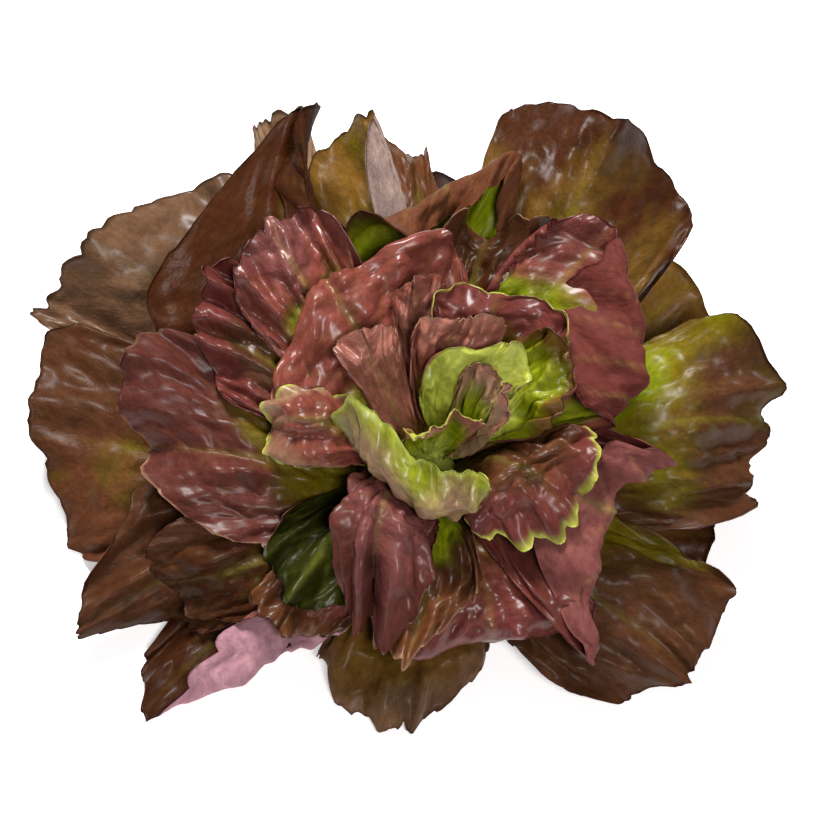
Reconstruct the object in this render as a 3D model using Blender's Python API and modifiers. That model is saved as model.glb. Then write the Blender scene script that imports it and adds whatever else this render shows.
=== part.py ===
"""A loose head of red butterhead lettuce, cut at the root and standing on its cut stem.

The head is a short tapered stem that carries a rosette of leaves. The leaves are listed from the
oldest, lowest one to the youngest one in the heart, and each clasps the stem a little higher than
the one before it. A leaf is a thin sheet through places that are given as (azimuth in degrees,
reach from the stem's axis in mm, height in mm): its tip, its left and right shoulders, seen from
the stem, and its belly half way along the midrib. +X is to the right and -Y is the front.
"""

import math
from dataclasses import dataclass

import bmesh
import bpy
import numpy as np

NAME = "butterhead_lettuce"
MM = 0.001

# Stem, metres
STEM_RADIUS = 0.014
STEM_SHOULDER = 0.014  # height where it starts to taper
STEM_HEIGHT = 0.054
STEM_TIP_RADIUS = 0.004
STEM_TAPER = 1.3  # power of the taper
STEM_CHAMFER = 0.001
STEM_SIDES = 32
STEM_RINGS = 8

# Leaves
LEAF_THICKNESS = 0.001
ROWS, COLUMNS = 6, 10  # cells from the foot to the rim, and round the rim
LOWEST_FOOT, HIGHEST_FOOT = 0.004, 0.052
FOOT_TURN = math.radians(34)  # half the arc of stem that a foot clasps
FOOT_DROOP = 0.002  # a foot's ends sit this much higher than its middle
FOOT_GAP = 0.0020  # from the stem's surface to the middle of the sheet
FOOT_SHARE = 0.78  # how much of the foot's arc the sheet takes
SIDE_START = 0.14  # share of the length where the side edges start
SIDE_TAPER = 0.08  # how much the sides draw in towards the foot
WIDEST = 0.62  # share of the length where the shoulders are
TOP_SHARE = 0.62  # share of the rim that is the round top
CREASE_START, CREASE_FADE = 0.12, 0.25  # shares of the length over which a crease forms

# How the leaves are laid in order
PIVOT = 0.024  # height on the axis about which leaves swing up and down
SHEET_GAP = 0.0024  # between the middles of neighbouring sheets
FLOOR_GAP = 0.0014  # lowest middle of a sheet
STEM_CLEARANCE = 0.0012
STEEPEST = math.radians(87)
SETTLING_STEPS = 700

# Colours, linear
DARK = (0.045, 0.012, 0.007)
BROWN = (0.090, 0.032, 0.016)
BRONZE = (0.130, 0.070, 0.028)
OLIVE = (0.130, 0.125, 0.018)
PURPLE = (0.120, 0.022, 0.024)
RED = (0.160, 0.030, 0.020)
MAUVE = (0.300, 0.120, 0.140)
LIME = (0.330, 0.420, 0.050)
STEM_COLOUR = (0.620, 0.620, 0.380)


@dataclass
class Leaf:
    """One leaf: its places, its outline and where it folds over."""

    name: str
    tip: tuple
    left: tuple
    right: tuple
    belly: tuple
    foot: float  # azimuth, degrees
    colour: tuple
    spread: float = 0.72  # how far the corners stand out beyond the tip
    point: float = 0.0  # 0 is round, 1 is pointed
    crease: tuple = None  # (turn in degrees, mm beyond the leaf's centre, angle, radius in mm)


LEAVES = [
    # lowest leaves, spread on the ground
    Leaf("outer_leaf_01", (88, 142, 6), (106, 130, 8), (70, 130, 8), (88, 78, 9), 88, BROWN),
    Leaf("outer_leaf_02", (352, 112, 5), (12, 106, 10), (332, 104, 8), (350, 64, 12), 350, BROWN),
    Leaf("outer_leaf_03", (166, 128, 5), (186, 116, 8), (146, 122, 10), (166, 72, 12), 166, BROWN),
    Leaf("outer_leaf_04", (42, 142, 14), (60, 134, 12), (24, 124, 14), (41, 78, 14), 42, OLIVE),
    Leaf("outer_leaf_05", (262, 93, 3), (288, 75, 7), (240, 86, 5), (262, 54, 14), 262, BRONZE,
         spread=0.65, point=0.5),
    Leaf("outer_leaf_06", (9, 139, 39), (29, 121, 47), (353, 115, 26), (8, 72, 44), 8, OLIVE,
         spread=0.6),
    Leaf("outer_leaf_07", (324, 113, 8), (342, 121, 20), (306, 99, 4), (320, 66, 28), 319, DARK,
         spread=0.65),
    Leaf("outer_leaf_08", (114, 162, 58), (118, 148, 48), (108, 146, 46), (115, 88, 27), 114, MAUVE),
    Leaf("outer_leaf_09", (144, 166, 41), (157, 155, 30), (120, 138, 54), (140, 88, 30), 140, BROWN,
         spread=0.95),
    Leaf("outer_leaf_10", (219, 134, 6), (247, 124, 4), (209, 121, 10), (216, 72, 18), 218, MAUVE,
         point=0.3, crease=(74, 24, 165, 4)),
    Leaf("outer_leaf_11", (172, 152, 20), (192, 133, 10), (154, 150, 31), (174, 86, 28), 174, PURPLE,
         spread=0.78),
    # raised outer leaves
    Leaf("outer_leaf_12", (60, 132, 48), (78, 122, 36), (44, 120, 54), (60, 76, 42), 60, BROWN),
    Leaf("outer_leaf_13", (94, 132, 44), (112, 124, 40), (76, 122, 42), (94, 74, 34), 94, BROWN),
    Leaf("outer_leaf_14", (93, 135, 66), (101, 126, 62), (87, 122, 60), (90, 74, 50), 88, BROWN),
    Leaf("outer_leaf_15", (202, 143, 8), (214, 108, 12), (184, 112, 40), (200, 72, 32), 202, DARK,
         point=0.9),
    Leaf("outer_leaf_16", (99, 148, 68), (113, 130, 54), (94, 134, 76), (96, 84, 44), 96, OLIVE,
         crease=(-80, 14, 150, 3)),
    Leaf("outer_leaf_17", (126, 112, 60), (142, 108, 52), (110, 98, 62), (124, 70, 50), 124, BROWN),
    Leaf("outer_leaf_18", (60, 144, 91), (79, 135, 90), (39, 131, 74), (58, 82, 66), 60, BRONZE,
         spread=0.72),
    Leaf("outer_leaf_19", (206, 118, 24), (222, 92, 18), (196, 100, 44), (213, 66, 40), 211, DARK),
    Leaf("outer_leaf_20", (111, 138, 98), (153, 124, 64), (114, 104, 86), (132, 80, 62), 130, DARK,
         point=0.35),
    # middle leaves
    Leaf("middle_leaf_01", (228, 84, 24), (244, 68, 22), (218, 80, 30), (230, 56, 32), 228, PURPLE),
    Leaf("middle_leaf_02", (180, 112, 54), (205, 76, 42), (160, 110, 68), (186, 60, 58), 188, PURPLE,
         point=0.5),
    Leaf("middle_leaf_03", (226, 76, 32), (243, 60, 32), (208, 66, 42), (222, 44, 38), 222, OLIVE),
    Leaf("middle_leaf_04", (156, 98, 76), (173, 76, 64), (142, 96, 82), (155, 55, 64), 152, DARK),
    Leaf("middle_leaf_05", (84, 106, 98), (115, 87, 86), (70, 116, 104), (90, 72, 62), 90, LIME,
         spread=0.7),
    Leaf("middle_leaf_06", (288, 78, 22), (316, 84, 30), (262, 74, 26), (292, 48, 40), 292, RED),
    Leaf("middle_leaf_07", (336, 110, 60), (357, 74, 70), (306, 102, 30), (338, 54, 54), 338, PURPLE,
         crease=(-6, 14, 165, 5)),
    Leaf("middle_leaf_08", (130, 94, 95), (150, 82, 80), (116, 80, 92), (132, 58, 74), 127, RED),
    Leaf("middle_leaf_09", (74, 80, 86), (87, 72, 86), (58, 80, 90), (75, 52, 74), 77, DARK),
    Leaf("middle_leaf_10", (264, 74, 30), (288, 58, 42), (250, 62, 36), (270, 44, 42), 265, DARK),
    Leaf("middle_leaf_11", (128, 74, 86), (168, 64, 68), (85, 80, 90), (130, 42, 80), 130, RED,
         spread=0.15, point=0.3),
    Leaf("middle_leaf_12", (45, 94, 98), (62, 62, 90), (3, 140, 78), (46, 58, 82), 42, RED,
         crease=(-63, 27, 165, 5)),
    Leaf("middle_leaf_13", (252, 78, 28), (270, 48, 50), (230, 53, 56), (242, 36, 70), 245, RED),
    Leaf("middle_leaf_14", (330, 60, 52), (354, 60, 72), (300, 38, 57), (328, 36, 76), 325, BROWN),
    # heart
    Leaf("heart_leaf_01", (182, 66, 71), (200, 50, 64), (168, 50, 76), (186, 36, 78), 195, RED),
    Leaf("heart_leaf_02", (96, 45, 98), (110, 41, 94), (82, 39, 99), (100, 30, 82), 110, RED),
    Leaf("heart_leaf_03", (58, 46, 100), (90, 32, 98), (24, 54, 94), (56, 34, 84), 75, PURPLE),
    Leaf("heart_leaf_04", (14, 54, 90), (34, 50, 92), (352, 44, 82), (12, 36, 76), 12, LIME),
    Leaf("heart_leaf_05", (252, 20, 88), (187, 34, 88), (305, 38, 72), (262, 37, 58), 262, MAUVE),
    Leaf("heart_leaf_06", (134, 37, 95), (160, 34, 90), (122, 25, 94), (145, 24, 80), 150, RED),
    Leaf("heart_leaf_07", (66, 29, 101), (106, 24, 99), (38, 34, 100), (75, 16, 84), 60, RED),
    Leaf("heart_leaf_08", (36, 35, 97), (100, 12, 95), (6, 29, 90), (30, 14, 80), 40, LIME),
    Leaf("heart_leaf_09", (10, 30, 95), (30, 16, 96), (344, 26, 86), (350, 20, 78), 340, MAUVE),
    Leaf("heart_leaf_10", (300, 9, 91), (225, 15, 83), (345, 18, 87), (270, 9, 70), 290, LIME),
]


def spot(place):
    """A place given as (azimuth, reach, height) as a point in metres."""
    turn = math.radians(place[0])
    return np.array([place[1] * math.cos(turn), place[1] * math.sin(turn), place[2]]) * MM


def stem_radius(height):
    """The stem's radius at a height: straight, then tapering to its tip."""
    rise = np.clip((height - STEM_SHOULDER) / (STEM_HEIGHT - STEM_SHOULDER), 0, 1)
    return STEM_RADIUS + (STEM_TIP_RADIUS - STEM_RADIUS) * rise**STEM_TAPER


def foot_points(leaf, foot_height):
    """The right end, middle and left end of the arc where a leaf clasps the stem."""
    points = []
    for side in (-1, 0, 1):
        turn = math.radians(leaf.foot) + side * FOOT_TURN
        height = foot_height + abs(side) * FOOT_DROOP
        reach = stem_radius(height) + FOOT_GAP
        points.append(np.array([reach * math.cos(turn), reach * math.sin(turn), height]))
    return points


def through(start, middle, share, end, s):
    """The parabola that is at start for s = 0, at middle for s = share and at end for s = 1."""
    pull = (middle - (1 - share) ** 2 * start - share**2 * end) / (2 * share * (1 - share))
    s = s[..., None]
    return (1 - s) ** 2 * start + 2 * s * (1 - s) * pull + s**2 * end


def blade(leaf, foot, s, t):
    """The leaf's smooth surface: s runs along the midrib, t from the right edge (-1) to the left (1)."""
    tip = spot(leaf.tip)
    left, right, belly = spot(leaf.left), spot(leaf.right), spot(leaf.belly)
    middle = through(foot[1], belly, 0.5, tip, s)
    widest = through(foot[1], belly, 0.5, tip, np.array(WIDEST))
    left_edge = through(foot[2], left, WIDEST, tip + (left - widest) * leaf.spread, s)
    right_edge = through(foot[0], right, WIDEST, tip + (right - widest) * leaf.spread, s)
    t = t[..., None]
    return middle + t / 2 * (left_edge - right_edge) + t**2 / 2 * (left_edge + right_edge - 2 * middle)


def fan(leaf, u, v):
    """Places on the leaf for a fan of lines from the foot (u = 0) to the rim (u = 1)."""
    across = np.abs(v)
    on_top = across < TOP_SHARE
    turn = across / TOP_SHARE * math.pi / 2
    down = np.clip((across - TOP_SHARE) / (1 - TOP_SHARE), 0, 1)
    rim_s = np.where(on_top, WIDEST + (1 - WIDEST) * np.cos(turn), WIDEST - (WIDEST - SIDE_START) * down)
    rim_t = np.where(on_top, np.sin(turn) * (1 - leaf.point * 0.5 * np.cos(turn)), 1 - SIDE_TAPER * down)
    return u * rim_s, (1 - u) * v * FOOT_SHARE + u * rim_t * np.sign(v)


def folded(x, y, crease, length):
    """Turns the blade over a round crease; z is the height above the unfolded blade."""
    turn, offset, angle, radius = crease
    turn, angle = math.radians(turn), math.radians(angle)
    offset, radius = offset * MM, radius * MM
    out_x, out_y = math.sin(turn), math.cos(turn)
    beyond = x * out_x + (y - length / 2) * out_y - offset
    along = x * out_y - (y - length / 2) * out_x
    bend = np.clip(beyond / radius, 0, angle)
    rest = np.maximum(beyond - radius * angle, 0)
    reach = np.where(beyond > 0, radius * np.sin(bend) + rest * np.cos(bend), beyond) + offset
    z = radius * (1 - np.cos(bend)) + rest * np.sin(bend)
    return reach * out_x + along * out_y, reach * out_y - along * out_x + length / 2, z


def sheet(leaf, foot_height):
    """The middle of the leaf as a grid of points, rows from foot to rim, columns from right to left."""
    u, v = np.meshgrid(np.linspace(0, 1, ROWS + 1), np.linspace(-1, 1, COLUMNS + 1), indexing="ij")
    foot = foot_points(leaf, foot_height)
    s, t = fan(leaf, u, v)
    if leaf.crease is None:
        return blade(leaf, foot, s, t)
    tip, belly = spot(leaf.tip), spot(leaf.belly)
    length = np.linalg.norm(belly - foot[1]) + np.linalg.norm(tip - belly)
    widest = through(foot[1], belly, 0.5, tip, np.array(WIDEST))
    width = (np.linalg.norm(spot(leaf.left) - widest) + np.linalg.norm(spot(leaf.right) - widest)) / 2
    x, y, z = folded(t * width, s * length, leaf.crease, length)
    open_foot = np.clip((s - CREASE_START) / CREASE_FADE, 0, 1)
    s, t, z = s + open_foot * (y / length - s), t + open_foot * (x / width - t), z * open_foot
    nudge = 0.001
    along = blade(leaf, foot, s + nudge, t) - blade(leaf, foot, s - nudge, t)
    aside = blade(leaf, foot, s, t + nudge) - blade(leaf, foot, s, t - nudge)
    up = np.cross(along, aside)
    up /= np.linalg.norm(up, axis=-1, keepdims=True)
    return blade(leaf, foot, s, t) + z[..., None] * up


def to_swing(points):
    """Azimuth, swing above the horizontal and distance, about the pivot on the stem's axis."""
    reach = np.hypot(points[..., 0], points[..., 1])
    rise = points[..., 2] - PIVOT
    return np.arctan2(points[..., 1], points[..., 0]), np.arctan2(rise, reach), np.hypot(reach, rise)


def from_swing(azimuth, swing, distance):
    """The points for an azimuth, swing and distance."""
    reach = distance * np.cos(swing)
    x, y = reach * np.cos(azimuth), reach * np.sin(azimuth)
    return np.stack([x, y, PIVOT + distance * np.sin(swing)], -1)


def grid_triangles():
    """Two triangles for each cell of a sheet, as vertex numbers."""
    corner = np.arange(ROWS)[:, None] * (COLUMNS + 1) + np.arange(COLUMNS)
    a, b, c, d = corner, corner + COLUMNS + 1, corner + COLUMNS + 2, corner + 1
    first = np.stack([a, b, c], -1).reshape(-1, 3)
    second = np.stack([a, c, d], -1).reshape(-1, 3)
    return np.concatenate([first, second])


def grid_probes():
    """Places tested on a sheet: its vertices, the middles of its edges and of its cells, as vertex pairs."""
    number = np.arange((ROWS + 1) * (COLUMNS + 1)).reshape(ROWS + 1, COLUMNS + 1)
    pairs = (
        (number, number),
        (number[1:], number[:-1]),
        (number[:, 1:], number[:, :-1]),
        (number[1:, 1:], number[:-1, :-1]),
    )
    return np.concatenate([np.stack([one.ravel(), two.ravel()], 1) for one, two in pairs])


def contacts(plans):
    """Where two leaves lie over each other on the plan, as vertex numbers and weights.

    The weights are positive on the younger leaf and negative on the older one.
    """
    triangles, probes = grid_triangles(), grid_probes()
    count = (ROWS + 1) * (COLUMNS + 1)
    numbers, weights = [], []
    for under, plan in enumerate(plans):
        corner = plan[triangles[:, 0]]
        one, two = plan[triangles[:, 1]] - corner, plan[triangles[:, 2]] - corner
        area = one[:, 0] * two[:, 1] - one[:, 1] * two[:, 0]
        area = np.where(np.abs(area) < 1e-12, 1e-12, area)
        for over, other in enumerate(plans):
            if over == under:
                continue
            places = other[probes].mean(1)
            inside = (places >= plan.min(0)).all(1) & (places <= plan.max(0)).all(1)
            near = np.flatnonzero(inside)
            gap = places[near][:, None] - corner[None]
            b = (gap[..., 0] * two[:, 1] - gap[..., 1] * two[:, 0]) / area
            c = (one[:, 0] * gap[..., 1] - one[:, 1] * gap[..., 0]) / area
            probe, triangle = np.nonzero((b >= 0) & (c >= 0) & (b + c <= 1))
            b, c = b[probe, triangle], c[probe, triangle]
            probe = near[probe]
            sign = 1.0 if over > under else -1.0
            half = np.full(len(probe), 0.5)
            numbers.append(np.concatenate([probes[probe] + over * count, triangles[triangle] + under * count], 1))
            weights.append(sign * np.stack([half, half, b + c - 1, -b, -c], 1))
    return np.concatenate(numbers), np.concatenate(weights)


def blurred(field):
    """Each value averaged with its neighbours on the sheet."""
    edge = np.pad(field, ((0, 0), (1, 1), (1, 1)), mode="edge")
    sides = edge[:, :-2, 1:-1] + edge[:, 2:, 1:-1] + edge[:, 1:-1, :-2] + edge[:, 1:-1, 2:]
    return (sides + 2 * field) / 6


def swing_limits(swing, distance):
    """How far down and up each point may swing before it meets the ground or the stem."""
    turns = np.radians(np.linspace(-89, 89, 400))
    height = PIVOT + distance[..., None] * np.sin(turns)
    keep_out = stem_radius(height) + STEM_CLEARANCE
    blocked = distance[..., None] * np.cos(turns) < np.where(height < STEM_HEIGHT + MM, keep_out, 0)
    above = np.where(blocked & (turns > swing[..., None]), turns, STEEPEST).min(-1)
    below = np.where(blocked & (turns < swing[..., None]), turns, -STEEPEST).max(-1)
    ground = np.arcsin(np.clip((FLOOR_GAP - PIVOT) / distance, -1, 1))
    return np.minimum(np.maximum(below, ground), swing), np.maximum(above, swing)


def laid_in_order(sheets):
    """Swings the sheets up and down until each younger leaf lies inside the older ones."""
    count, rows, columns = sheets.shape[:3]
    azimuth, swing, distance = to_swing(sheets)
    plan = np.stack([distance * np.cos(azimuth), distance * np.sin(azimuth)], -1)
    numbers, weights = contacts(plan.reshape(count, -1, 2))
    share = np.abs(weights)
    normal = np.cross(np.gradient(sheets, axis=1), np.gradient(sheets, axis=2))
    normal /= np.linalg.norm(normal, axis=-1, keepdims=True)
    rising = np.stack([-np.sin(swing) * np.cos(azimuth), -np.sin(swing) * np.sin(azimuth), np.cos(swing)], -1)
    facing = np.abs((normal * rising).sum(-1)).clip(0.4, 1).ravel()[numbers].min(1)
    reach = (distance.ravel()[numbers] * share).sum(1) / share.sum(1)
    wanted = SHEET_GAP / reach / facing
    strength = (weights**2).sum(1)
    lowest, highest = swing_limits(swing, distance)
    moved = np.zeros_like(swing)
    for step in range(SETTLING_STEPS):
        done = step / SETTLING_STEPS
        short = np.maximum(wanted - ((swing + moved).ravel()[numbers] * weights).sum(1), 0)
        pushes = (short / strength)[:, None] * weights
        pushed = share * (short > 0)[:, None]
        total = np.bincount(numbers.ravel(), pushes.ravel(), swing.size)
        times = np.bincount(numbers.ravel(), pushed.ravel(), swing.size)
        moved += (0.9 * total / np.maximum(times, 1)).reshape(moved.shape)
        if done < 0.65:
            soft = 0.5 * (1 - done / 0.65) + 0.05
            moved *= 1 - 0.01 * (1 - done)
            moved = (1 - soft) * moved + soft * blurred(moved)
        moved = np.clip(swing + moved, lowest, highest) - swing
    return from_swing(azimuth, swing + moved, distance)


def material(name, colour, roughness):
    """A plain Principled material."""
    made = bpy.data.materials.new(name)
    made.use_nodes = True
    shader = made.node_tree.nodes["Principled BSDF"]
    shader.inputs["Base Color"].default_value = (*colour, 1)
    shader.inputs["Roughness"].default_value = roughness
    made.diffuse_color = (*colour, 1)
    return made


def add_object(name, mesh, colour, roughness, collection):
    """Puts a mesh in the collection with its own material."""
    made = bpy.data.objects.new(name, mesh)
    mesh.materials.append(material(name, colour, roughness))
    collection.objects.link(made)
    return made


def leaf_object(leaf, points, collection):
    """A leaf: a grid laid on its sheet, with Solidify for its thickness."""
    grid = bmesh.new()
    bmesh.ops.create_grid(grid, x_segments=COLUMNS, y_segments=ROWS, size=1)
    for vertex in grid.verts:
        row = round((vertex.co.y + 1) / 2 * ROWS)
        column = round((vertex.co.x + 1) / 2 * COLUMNS)
        vertex.co = points[row, column]
    mesh = bpy.data.meshes.new(leaf.name)
    bmesh.ops.triangulate(grid, faces=grid.faces)
    grid.to_mesh(mesh)
    grid.free()
    mesh.shade_smooth()
    made = add_object(leaf.name, mesh, leaf.colour, 0.4, collection)
    solidify = made.modifiers.new("thickness", "SOLIDIFY")
    solidify.thickness = LEAF_THICKNESS
    solidify.offset = 0


def stem_object(collection):
    """The stem: its outline turned about the axis, with a flat cut foot."""
    heights = np.linspace(STEM_HEIGHT, STEM_SHOULDER, STEM_RINGS)
    outline = [(0, STEM_HEIGHT)]
    outline += [(stem_radius(height), height) for height in heights]
    outline += [(STEM_RADIUS, STEM_CHAMFER), (STEM_RADIUS - STEM_CHAMFER, 0), (0, 0)]
    mesh = bpy.data.meshes.new("stem")
    edges = [(number, number + 1) for number in range(len(outline) - 1)]
    mesh.from_pydata([(reach, 0, height) for reach, height in outline], edges, [])
    made = add_object("stem", mesh, STEM_COLOUR, 0.5, collection)
    screw = made.modifiers.new("turned", "SCREW")
    screw.steps = screw.render_steps = STEM_SIDES
    screw.use_merge_vertices = True
    screw.merge_threshold = 0.00005


def main():
    for old in list(bpy.data.objects):
        bpy.data.objects.remove(old)
    collection = bpy.data.collections.new(NAME)
    bpy.context.scene.collection.children.link(collection)
    feet = np.linspace(LOWEST_FOOT, HIGHEST_FOOT, len(LEAVES))
    sheets = np.stack([sheet(leaf, height) for leaf, height in zip(LEAVES, feet)])
    for leaf, points in zip(LEAVES, laid_in_order(sheets)):
        leaf_object(leaf, points, collection)
    stem_object(collection)


main()
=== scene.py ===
"""A loose head of red butterhead lettuce, standing on its cut stem on a pale floor.

The leaves are listed from the oldest, lowest one to the youngest one in the heart. Places on a leaf
are given as (azimuth in degrees, reach from the stem's axis in mm, height in mm), with +X to the
right and -Y the front. Each leaf is a sheet of points on a fan of lines from its foot to its rim,
rippled at the rim, puckered between its veins, and laid on the leaves below it.
"""

import math
from dataclasses import dataclass

import bpy
import numpy as np
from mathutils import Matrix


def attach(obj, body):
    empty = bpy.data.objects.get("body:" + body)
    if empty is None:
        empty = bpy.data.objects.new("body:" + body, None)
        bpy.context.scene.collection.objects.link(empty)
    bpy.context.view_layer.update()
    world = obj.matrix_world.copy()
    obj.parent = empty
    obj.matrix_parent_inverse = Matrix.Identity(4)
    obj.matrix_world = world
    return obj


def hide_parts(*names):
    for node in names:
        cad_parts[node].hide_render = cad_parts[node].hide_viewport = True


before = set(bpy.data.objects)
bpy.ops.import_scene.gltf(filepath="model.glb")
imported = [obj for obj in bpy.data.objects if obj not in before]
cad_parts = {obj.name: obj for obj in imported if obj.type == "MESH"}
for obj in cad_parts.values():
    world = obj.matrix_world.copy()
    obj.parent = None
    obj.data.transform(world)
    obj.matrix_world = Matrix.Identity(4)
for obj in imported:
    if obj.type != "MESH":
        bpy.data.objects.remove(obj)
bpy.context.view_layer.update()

MM = 0.001

# Stem and feet, metres, as the solids have them
STEM_RADIUS, STEM_TIP_RADIUS = 0.014, 0.004
STEM_SHOULDER, STEM_HEIGHT, STEM_TAPER = 0.014, 0.054, 1.3
LOWEST_FOOT, HIGHEST_FOOT = 0.004, 0.052
FOOT_TURN = math.radians(34)
FOOT_DROOP, FOOT_GAP = 0.002, 0.0020

# Leaf outline
FOOT_SHARE = 0.78
SIDE_START, SIDE_TAPER = 0.14, 0.08
WIDEST, TOP_SHARE = 0.62, 0.62
CREASE_START, CREASE_FADE = 0.12, 0.25

# Leaf sheets: rows from foot to rim and columns round the rim
FINE = (64, 96)
HIDDEN = (32, 48)
LAYING = ((14, 24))
ROW_CROWDING = 0.85  # a power below 1 sets the rows closer together near the rim
THICKNESS = 0.0006
NUDGE = 0.001  # share of the blade over which its slope is taken
PLAN_SIZE = 0.1  # metres of flat leaf in one unit of the UV map

# Ripples and rolls of the rim
RIPPLE_GROWTH = 2.4  # power of the share of the way out
LOBE_GROWTH = 5
SMALL_FOLDS = 0.45
ROLL_WANDER = 36  # degrees that every rim rolls to and fro by itself

# Veins, and their ribs on the under side
MIDRIB_WIDTH, SIDE_VEIN_WIDTH, VEIN_SPACING = 1.6 * MM, 1.1 * MM, 17 * MM
VEIN_SLANT, VEIN_BOW, BOW_SCALE = 0.9, 0.9, 0.02**0.1
VEIN_DRIFT, DRIFT_SIZE = 3 * MM, 0.02
RIB_HEIGHT, SIDE_RIB_SHARE = 0.0022, 0.25

# Puckers: pillows between the veins with small ones on them
BIG_PILLOW, SMALL_PILLOW, SMALL_PILLOW_SHARE = 0.015, 0.0065, 0.35
PILLOW_WARP, WARP_SIZE = 2.5 * MM, 0.012

# Colour patches on the upper face, metres, and where its colours meet, as shares of the way out
PATCH_SIZE, BLOTCH_SIZE, SPECK_SIZE = (0.022, 0.026), (0.009, 0.011), 0.004
UNDER_PATCH_SIZE = 0.02
FLUSH_BLUR = 0.14
EDGE_START, EDGE_FULL = 0.62, 0.95
DARK_RIM = 0.6  # mm
LIME_RIM = 2.0  # mm; a wider pale margin is lime and a narrower one tan, each partly painted highlight on the thin edge

# How the leaves are laid in order
PIVOT = 0.024
SHEET_GAP = 0.0020
FLOOR_GAP = 0.0012
STEM_CLEARANCE = 0.0010
STEEPEST = math.radians(87)
SETTLING_STEPS = 600
EAGERNESS = 0.9  # share of what is missing that one step makes good
FIRST_BLUR, LAST_BLUR, BLUR_FADE = 0.5, 0.08, 0.8  # smoothing of the moves, which falls as they go on
LETTING_GO = 0.01  # share of the moves that is given back in the first step
FLOOR_SOFTNESS = 0.4 * MM

# Colours, linear
DARK = (0.042, 0.012, 0.004)
UMBER = (0.067, 0.024, 0.010)
BROWN = (0.098, 0.033, 0.012)
PLUM = (0.110, 0.036, 0.016)
GREY_BROWN = (0.108, 0.054, 0.028)
BRONZE = (0.125, 0.060, 0.010)
OLIVE = (0.130, 0.094, 0.003)
WINE = (0.085, 0.022, 0.016)
PURPLE = (0.118, 0.027, 0.022)
RED = (0.180, 0.044, 0.030)
ROSE = (0.290, 0.105, 0.075)
MAUVE = (0.155, 0.047, 0.042)
TAN = (0.260, 0.150, 0.085)
ASH = (0.230, 0.160, 0.140)
PINK = (0.360, 0.180, 0.215)
# near-black green: painted shade, for the shaded hollow deep among the front leaves
PAINTED_HOLLOW_SHADE = (0.018, 0.019, 0.002)
LIME = (0.210, 0.245, 0.004)
PALE_LIME = (0.420, 0.450, 0.070)
PALE_GREEN = (0.300, 0.310, 0.050)
STEM_FLESH, STEM_HIGHLIGHT = (0.55, 0.56, 0.30), (0.75, 0.72, 0.52)

# Finish
SPECULAR, COAT_ROUGHNESS = 0.05, 0.28
BUMP_DEPTH = 0.0006
SKIN_NET, BACK_NET = 34.0, 30.0  # cells of the net of small veins in one unit of the UV map
STEM_GREENS = (0.010, 0.030)  # heights between which the stem turns green

# Studio, metres and watts
FLOOR_HALF, FLOOR_COLOUR, FLOOR_ROUGHNESS, FLOOR_GLOW = 3.0, (0.93, 0.93, 0.93), 0.9, 0.45
SKY_STRENGTH = 0.16
LAMP_SIZE, LAMP_AIM = 0.30, (0, 0, 0.04)
LENS, SENSOR = 100.0, 36.0
CAMERA_AIM, CAMERA_AWAY, CAMERA_LIFT = (-0.0062, 0.0187, 0.045), 0.886, math.radians(60)


@dataclass
class Leaf:
    """One leaf: its places, its outline, how it ripples and its colours."""

    name: str
    tip: tuple
    left: tuple
    right: tuple
    belly: tuple
    foot: float  # azimuth where it clasps the stem, degrees
    base: tuple = OLIVE  # near the foot
    body: tuple = BROWN
    edge: tuple = DARK  # towards the rim
    under: tuple = MAUVE
    spread: float = 0.72  # how far the corners stand out beyond the tip
    point: float = 0.0  # how much the top narrows towards the tip
    crease: tuple = None  # (turn in degrees, mm beyond the centre, angle, radius in mm)
    ripple: float = 4.0  # mm at the rim
    ripples: float = 3.0  # how closely the ripples follow each other
    crumple: float = 3.2  # mm, folds that run out to the rim
    pucker: float = 1.5  # mm, blisters between the veins
    rolls: tuple = ()  # parts of the rim that roll: (middle, half width, angle in degrees)
    roll_start: float = 0.72  # share of the way out where a roll starts
    roll_radius: float = 8.0  # mm
    lobe: float = 2.4  # mm, scallops of the rim
    flush: float = 0.45  # share of the way out where the base colour gives way
    lean: float = 0.0  # how much sooner it gives way on the left
    pale_rim_and_highlight: float = 0.0  # mm of pale margin, partly the leaf's own and partly a painted highlight where the thin edge catches the light
    gloss: float = 0.35  # weight of the clear coat on the upper face
    hidden: bool = False  # it lies under others, so its grid is coarser


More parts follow.
